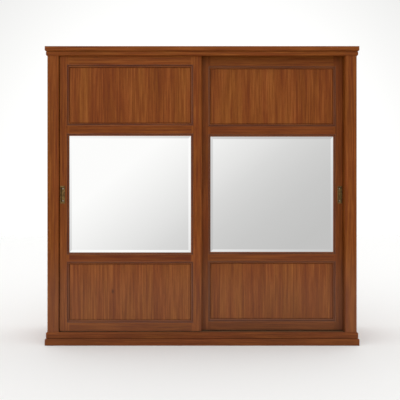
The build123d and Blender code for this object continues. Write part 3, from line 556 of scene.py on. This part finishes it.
nylon = moulded("moulded nylon", "#d9d4c6", "#e9e5da", 12, 2, (0.34, 0.48),
                IOR=1.53, Subsurface_Weight=0.15, Subsurface_Scale=2 * MM)
rubber = moulded("black rubber", "#1a1a1b", "#2b2b2c", 4, 1.5, (0.6, 0.8), IOR=1.5)
graphite_nylon = moulded("graphite-filled nylon", "#2c2a28", "#3d3a37", 8, 2, (0.38, 0.52),
                         IOR=1.53)
wheels = [name for name in NODES if name.endswith("wheel")]
coat(nylon, "left_door_guide_shoes", "right_door_guide_shoes")
coat(graphite_nylon, *wheels)
coat(rubber, "door_stops")
print("graphite nylon on", wheels)

# %% [markdown]
# ## Mouldings as mitred runs
#
# A moulding is a profile planed along a length of wood, then cut at 45 degrees where it turns a
# corner. That is a rule, so Geometry Nodes make it: one small tree fills the profile, draws it
# out to a length, shears the ends into mitres, writes down where each point lies along the
# grain, and turns the run to face outwards. Every run of the cornice, the plinth and the panel
# mouldings is that same tree with other sizes. The grain is kept as an attribute because the
# wood turns the corner with the moulding.

# %% Profiles: (distance out, height) in mm, with arcs through three points
ARC_STEPS = 8


def arc(start, middle, end, steps=ARC_STEPS):
    """Points along the circle through three points, without the first."""
    (ax, ay), (bx, by), (cx, cy) = start, middle, end
    double = 2 * (ax * (by - cy) + bx * (cy - ay) + cx * (ay - by))
    squares = [x * x + y * y for x, y in (start, middle, end)]
    ox = (squares[0] * (by - cy) + squares[1] * (cy - ay) + squares[2] * (ay - by)) / double
    oy = (squares[0] * (cx - bx) + squares[1] * (ax - cx) + squares[2] * (bx - ax)) / double
    angles = [math.atan2(y - oy, x - ox) for x, y in (start, middle, end)]
    turn = (angles[2] - angles[0]) % math.tau
    if (angles[1] - angles[0]) % math.tau > turn:
        turn -= math.tau
    radius = math.hypot(ax - ox, ay - oy)
    return [(ox + radius * math.cos(angles[0] + turn * i / steps),
             oy + radius * math.sin(angles[0] + turn * i / steps)) for i in range(1, steps + 1)]


def profile_curve(name, points):
    """A closed profile, drawn in mm, as a flat curve in metres that Geometry Nodes can read."""
    curve = bpy.data.curves.new(name, "CURVE")
    line = curve.splines.new("POLY")
    line.points.add(len(points) - 1)
    for point, (x, y) in zip(line.points, points):
        point.co = (x * MM, y * MM, 0, 1)
    line.use_cyclic_u = True
    return bpy.data.objects.new(name, curve)


panel_moulding = profile_curve("panel_moulding_profile", [
    (0, 0), (18, 0), (18, 14.4), (17.4, 15), (12.9, 15), (12.4, 14.5), (12.4, 4.5), (8.2, 4.5),
    (8.2, 12.4), (7.8, 12.8), (7.2, 12.8), *arc((7.2, 12.8), (2.4, 10.2), (0, 5.5), 12)])
cornice = profile_curve("cornice_profile", [
    (0, 2190), (0, 2124), (1.5, 2124), *arc((1.5, 2124), (6.05, 2125.95), (8, 2130.5)),
    (8, 2148.9), (7.4, 2149.5), (2, 2149.5), *arc((2, 2149.5), (4.93, 2156.57), (12, 2159.5)),
    (14.2, 2159.5), (15, 2160.3), (15, 2188.6),
    *arc((15, 2188.6), (14.6, 2189.6), (13.6, 2190), 4)])
plinth = profile_curve("plinth_profile", [
    (0, 0), (14.5, 0), (15, 0.5), (15, 43), *arc((15, 43), (13.1, 46.8), (8.6, 48)), (3, 48),
    (3, 54), (7.6, 54), (8, 54.4), (8, 82), *arc((8, 82), (6.4, 91.4), (1.5, 95)), (0, 95)])
for drawn in (panel_moulding, cornice, plinth):
    print(drawn.name, len(drawn.data.splines[0].points), "points")


# %% The mitred run, a Geometry Nodes tree
def sockets(tree, wanted):
    """Gives a tree its named inputs and a geometry output, and returns the input's sockets."""
    for name, kind, value in wanted:
        socket = tree.interface.new_socket(name, in_out="INPUT", socket_type=kind)
        if value is not None:
            socket.default_value = value
    tree.interface.new_socket("Geometry", in_out="OUTPUT", socket_type="NodeSocketGeometry")
    return add(tree, "NodeGroupInput").outputs


mitred_run = bpy.data.node_groups.new("mitred run", "GeometryNodeTree")
given = sockets(mitred_run, [
    ("Profile", "NodeSocketObject", None), ("Start", "NodeSocketVector", (0, 0, 0)),
    ("Along", "NodeSocketVector", (0, 0, 1)), ("Out", "NodeSocketVector", (1, 0, 0)),
    ("Length", "NodeSocketFloat", 1.0), ("Start mitre", "NodeSocketFloat", 1.0),
    ("End mitre", "NodeSocketFloat", 1.0), ("Plank", "NodeSocketVector", (0, 0, 0))])
outline = add(mitred_run, "GeometryNodeObjectInfo", {"Object": given["Profile"]})
end_face = add(mitred_run, "GeometryNodeFillCurve", {0: outline.outputs["Geometry"]})
reach = add(mitred_run, "ShaderNodeCombineXYZ", {2: given["Length"]})
drawn_out = add(mitred_run, "GeometryNodeExtrudeMesh", {
    "Mesh": end_face.outputs[0], "Offset": reach.outputs[0], "Offset Scale": 1.0,
    "Individual": False})
first_end = add(mitred_run, "GeometryNodeFlipFaces", {0: end_face.outputs[0]})
closed = add(mitred_run, "GeometryNodeJoinGeometry", {0: drawn_out.outputs["Mesh"]})
mitred_run.links.new(first_end.outputs[0], closed.inputs[0])
whole = add(mitred_run, "GeometryNodeMergeByDistance",
            {0: closed.outputs[0], "Distance": 0.01 * MM})
here = add(mitred_run, "GeometryNodeInputPosition").outputs[0]
split = add(mitred_run, "ShaderNodeSeparateXYZ", {0: here}).outputs
half = add(mitred_run, "ShaderNodeMath", {0: given["Length"], 1: 0.5}, operation="MULTIPLY")
at_end = add(mitred_run, "ShaderNodeMath", {0: split["Z"], 1: half.outputs[0]},
             operation="GREATER_THAN").outputs[0]
back = add(mitred_run, "ShaderNodeMath", {0: given["Start mitre"], 1: -1.0},
           operation="MULTIPLY").outputs[0]
cut = add(mitred_run, "ShaderNodeMapRange",
          {0: at_end, 3: back, 4: given["End mitre"]}).outputs[0]
shear = add(mitred_run, "ShaderNodeMath", {0: cut, 1: split["X"]}, operation="MULTIPLY")
shift = add(mitred_run, "ShaderNodeCombineXYZ", {2: shear.outputs[0]})
cut_run = add(mitred_run, "GeometryNodeSetPosition",
              {"Geometry": whole.outputs[0], "Offset": shift.outputs[0]})
in_plank = add(mitred_run, "ShaderNodeVectorMath", {0: here, 1: given["Plank"]}, operation="ADD")
marked = add(mitred_run, "GeometryNodeStoreNamedAttribute",
             {"Geometry": cut_run.outputs[0], "Name": "grain", "Value": in_plank.outputs[0]},
             data_type="FLOAT_VECTOR", domain="POINT")
facing = add(mitred_run, "FunctionNodeAxesToRotation", {0: given["Along"], 1: given["Out"]},
             primary_axis="Z", secondary_axis="X")
placed = add(mitred_run, "GeometryNodeTransform",
             {"Geometry": marked.outputs[0], "Translation": given["Start"],
              "Rotation": facing.outputs[0]})
add(mitred_run, "NodeGroupOutput", {0: placed.outputs[0]})
print("mitred run:", len(mitred_run.nodes), "nodes")


# %% From a tree to a plain mesh
RUN_CREASE = 32  # degrees: an edge that turns more than this stays crisp


def grown(name, tree, **inputs):
    """The plain mesh object that a tree makes, with its modifier used and gone."""
    maker = bpy.data.objects.new(name, bpy.data.meshes.new(name))
    bpy.context.scene.collection.objects.link(maker)
    modifier = maker.modifiers.new("grow", "NODES")
    modifier.node_group = tree
    for item in tree.interface.items_tree:
        if item.in_out == "INPUT" and item.name in inputs:
            modifier[item.identifier] = inputs[item.name]
    seen = maker.evaluated_get(bpy.context.evaluated_depsgraph_get())
    mesh = bpy.data.meshes.new_from_object(seen)
    maker.modifiers.clear()
    maker.data = mesh
    mesh.shade_smooth()
    mesh.set_sharp_from_angle(angle=math.radians(RUN_CREASE))
    size = [round(v, 3) for v in maker.dimensions]
    print(name, len(mesh.polygons), "faces, size", size)
    return maker


def runs_tree(name, runs):
    """A tree that joins mitred runs. A run is (start, along, out, length, first, last) in mm."""
    tree = bpy.data.node_groups.new(name, "GeometryNodeTree")
    given = sockets(tree, [("Profile", "NodeSocketObject", None),
                           ("Wood", "NodeSocketMaterial", None)])
    joined = add(tree, "GeometryNodeJoinGeometry")
    for index, (start, along, out, length, first, last) in enumerate(runs):
        run = add(tree, "GeometryNodeGroup", node_tree=mitred_run)
        tree.links.new(given["Profile"], run.inputs["Profile"])
        run.inputs["Start"].default_value = [v * MM for v in start]
        run.inputs["Along"].default_value = along
        run.inputs["Out"].default_value = out
        run.inputs["Length"].default_value = length * MM
        run.inputs["Start mitre"].default_value = first
        run.inputs["End mitre"].default_value = last
        run.inputs["Plank"].default_value = (0.31 * index, 0.17 * index, 1.3 * index)
        tree.links.new(run.outputs[0], joined.inputs[0])
    real = add(tree, "GeometryNodeRealizeInstances", {0: joined.outputs[0]})
    stained = add(tree, "GeometryNodeSetMaterial",
                  {"Geometry": real.outputs[0], "Material": given["Wood"]})
    add(tree, "NodeGroupOutput", {0: stained.outputs[0]})
    return tree


# %% The cornice and the plinth
face_low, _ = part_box("left_face_stile")
_, face_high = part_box("right_face_stile")
_, back_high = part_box("top_panel")
SIDE, FRONT, BACK = face_high.x / MM, face_low.y / MM, back_high.y / MM
UP, DOWN, LEFT, RIGHT = (0, 0, 1), (0, 0, -1), (-1, 0, 0), (1, 0, 0)
TO_BACK, TO_FRONT = (0, 1, 0), (0, -1, 0)

body_runs = [
    ((SIDE, FRONT, 0), LEFT, TO_FRONT, 2 * SIDE, 1, 1),
    ((-SIDE, FRONT, 0), TO_BACK, LEFT, BACK - FRONT, 1, 0),
    ((SIDE, BACK, 0), TO_FRONT, RIGHT, BACK - FRONT, 0, 1)]
round_body = runs_tree("runs round the body", body_runs)
for name, profile, wood in (("cornice", cornice, mouldings), ("plinth", plinth, foot_mouldings)):
    piece = grown(f"{name}_mouldings", round_body, Profile=profile, Wood=wood)
    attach(piece, "cabinet")
    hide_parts(*(f"{name}_{side}_moulding" for side in ("front", "left", "right")))

# %% The mouldings round the panels and the mirrors
TONGUE = 9.5  # how far a panel or a backing reaches into the frame's groove


def ring_runs(low, high):
    """The four runs round an opening between two corners, in mm, rising from y at the low one."""
    (x0, y, z0), (x1, _, z1) = low, high
    width, height = x1 - x0, z1 - z0
    return [((x0, y, z0), UP, LEFT, height, 1, 1), ((x1, y, z1), DOWN, RIGHT, height, 1, 1),
            ((x0, y, z1), RIGHT, UP, width, 1, 1), ((x1, y, z0), LEFT, DOWN, width, 1, 1)]


for door in ("left_door", "right_door"):
    border_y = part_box(f"{door}_panel_mouldings")[1].y / MM
    runs = []
    for part in ("lower_panel", "mirror_backing", "upper_panel"):
        low, high = (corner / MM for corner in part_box(f"{door}_{part}"))
        runs += ring_runs((low.x + TONGUE, border_y, low.z + TONGUE),
                          (high.x - TONGUE, border_y, high.z - TONGUE))
    piece = grown(f"{door}_mouldings", runs_tree(f"{door} opening rings", runs),
                  Profile=panel_moulding, Wood=door_mouldings[door])
    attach(piece, door)
    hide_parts(f"{door}_panel_mouldings")

# %% [markdown]
# ## Flush pulls
#
# A flush pull is cast in one piece: a thin plate with a soft edge, a rolled lip, and a cup with
# slightly sloping walls and a rounded floor, so that it leaves the mould and takes a fingertip.
# Every level of it is a rectangle with round corners, so it is drawn as a stack of such rings,
# from the back of the plate round the front and down into the cup, and then skinned. The two
# screws are already there, and their heads stand just proud of the floor.

# %% The flush pulls, skinned from rings
PULL_RINGS = [  # half width, half height, corner radius and depth behind the door's face, in mm
    (12.4, 55.4, 3.0, 12.6), (12.4, 55.4, 3.0, 1.0),  # the back of the cup, up to the plate
    (18.0, 65.0, 2.2, 1.0), (18.0, 65.0, 2.2, -0.3),  # the plate's edge
    (17.8, 64.8, 2.1, -0.7), (17.3, 64.3, 1.9, -1.0),  # round to its front
    (12.0, 55.0, 2.6, -1.0), (11.5, 54.5, 2.3, -0.8), (11.1, 54.1, 2.1, -0.2),  # the rolled lip
    (10.7, 53.7, 2.0, 8.0), (10.2, 53.2, 1.9, 10.2),  # down the sloping wall
    (9.2, 52.2, 1.6, 11.1), (7.6, 50.6, 1.2, 11.4)]  # the rounded floor
CORNER_STEPS = 6
CAST_CREASE = 40  # degrees
PLATE_PROUD = 1 * MM  # how far the plate stands in front of the door's face


def rounded_rectangle(half_width, half_height, radius):
    """Points (x, z) round a rectangle with round corners."""
    points = []
    for quarter in range(4):
        turn = quarter * math.tau / 4
        side_x = half_width - radius if quarter in (0, 3) else radius - half_width
        side_z = half_height - radius if quarter in (0, 1) else radius - half_height
        for step in range(CORNER_STEPS + 1):
            angle = turn + step / CORNER_STEPS * math.tau / 4
            points.append((side_x + radius * math.cos(angle), side_z + radius * math.sin(angle)))
    return points


def flush_pull(name, x, face, z):
    """A cast pull centred at x and z, in metres, in a door whose face is at y = face."""
    shape = bmesh.new()
    rings = []
    for half_width, half_height, radius, depth in PULL_RINGS:
        outline = rounded_rectangle(half_width, half_height, radius)
        rings.append([shape.verts.new((x + u * MM, face + depth * MM, z + v * MM))
                      for u, v in outline])
    for first, second in zip(rings, rings[1:]):
        for index in range(len(first)):
            after = (index + 1) % len(first)
            shape.faces.new((first[index], first[after], second[after], second[index]))
    shape.faces.new(rings[0])
    shape.faces.new(rings[-1])
    bmesh.ops.recalc_face_normals(shape, faces=shape.faces)
    mesh = bpy.data.meshes.new(name)
    shape.to_mesh(mesh)
    shape.free()
    mesh.shade_smooth()
    mesh.set_sharp_from_angle(angle=math.radians(CAST_CREASE))
    mesh.materials.append(antique_brass)
    pull = bpy.data.objects.new(name, mesh)
    bpy.context.scene.collection.objects.link(pull)
    return pull


for door in ("left_door", "right_door"):
    low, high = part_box(f"{door}_pull")
    middle = (low + high) / 2
    pull = flush_pull(f"{door}_cast_pull", middle.x, low.y + PLATE_PROUD, middle.z)
    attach(pull, door)
    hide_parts(f"{door}_pull")
    print(pull.name, len(pull.data.polygons), "faces")

# %% [markdown]
# ## Nails in the back
#
# The thin backs are nailed on: a row of small flat-headed nails down each edge, along the top
# and the bottom, and down the strip over the joint. Nails at an even spacing along a line are a
# rule, so one tree does it: a line of points, and a low, flat head on each.

# %% Rows of nails, by Geometry Nodes
NAIL_SPACING = 150  # these four are in mm
NAIL_HEAD = 3.2  # radius
NAIL_RISE = 0.8
EDGE_IN = 5  # from a back's edge to its row of nails
NAIL_SIDES = 16

nail_row = bpy.data.node_groups.new("nail row", "GeometryNodeTree")
given = sockets(nail_row, [
    ("From", "NodeSocketVector", (0, 0, 0)), ("To", "NodeSocketVector", (0, 0, 1)),
    ("Spacing", "NodeSocketFloat", NAIL_SPACING * MM), ("Head", "NodeSocketFloat", NAIL_HEAD * MM),
    ("Rise", "NodeSocketFloat", NAIL_RISE * MM)])
line = add(nail_row, "GeometryNodeCurvePrimitiveLine",
           {"Start": given["From"], "End": given["To"]})
run_length = add(nail_row, "GeometryNodeCurveLength", {0: line.outputs[0]}).outputs[0]
gaps = add(nail_row, "ShaderNodeMath", {0: run_length, 1: given["Spacing"]}, operation="DIVIDE")
count = add(nail_row, "ShaderNodeMath", {0: gaps.outputs[0], 1: 1.0}, operation="ADD").outputs[0]
spots = add(nail_row, "GeometryNodeCurveToPoints", {"Curve": line.outputs[0], "Count": count})
head = add(nail_row, "GeometryNodeMeshCylinder", {
    "Vertices": NAIL_SIDES, "Radius": given["Head"], "Depth": given["Rise"]})
turned = add(nail_row, "GeometryNodeTransform", {
    "Geometry": head.outputs["Mesh"], "Rotation": (math.radians(90), 0, 0)})
nails = add(nail_row, "GeometryNodeInstanceOnPoints", {
    "Points": spots.outputs["Points"], "Instance": turned.outputs[0]})
add(nail_row, "NodeGroupOutput", {0: nails.outputs[0]})

back_low, back_high = (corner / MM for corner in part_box("back_panels"))
strip_low, strip_high = (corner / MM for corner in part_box("back_joint_strip"))
on_back, on_strip = back_high.y + NAIL_RISE / 2, strip_high.y + NAIL_RISE / 2
left, right = back_low.x + EDGE_IN, back_high.x - EDGE_IN
bottom, top = back_low.z + EDGE_IN, back_high.z - EDGE_IN
seam = (strip_low.x + strip_high.x) / 2
inset = NAIL_SPACING / 2
rows = [((left, on_back, bottom), (left, on_back, top)),
        ((right, on_back, bottom), (right, on_back, top)),
        ((seam, on_strip, bottom), (seam, on_strip, top))]
for z in (bottom, top):
    rows += [((left + inset, on_back, z), (strip_low.x - inset, on_back, z)),
             ((strip_high.x + inset, on_back, z), (right - inset, on_back, z))]

nail_rows = bpy.data.node_groups.new("nail rows", "GeometryNodeTree")
given = sockets(nail_rows, [("Metal", "NodeSocketMaterial", None)])
joined = add(nail_rows, "GeometryNodeJoinGeometry")
for start, end in rows:
    row = add(nail_rows, "GeometryNodeGroup", node_tree=nail_row)
    row.inputs["From"].default_value = [v * MM for v in start]
    row.inputs["To"].default_value = [v * MM for v in end]
    nail_rows.links.new(row.outputs[0], joined.inputs[0])
real = add(nail_rows, "GeometryNodeRealizeInstances", {0: joined.outputs[0]})
plated = add(nail_rows, "GeometryNodeSetMaterial",
             {"Geometry": real.outputs[0], "Material": given["Metal"]})
add(nail_rows, "NodeGroupOutput", {0: plated.outputs[0]})

nails = grown("back_nails", nail_rows, Metal=bright_zinc)
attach(nails, "cabinet")

# %% Parts left without a finish
bare = [name for name, node in NODES.items() if not node.material_slots and not node.hide_render]
print("nodes without a finish:", bare)
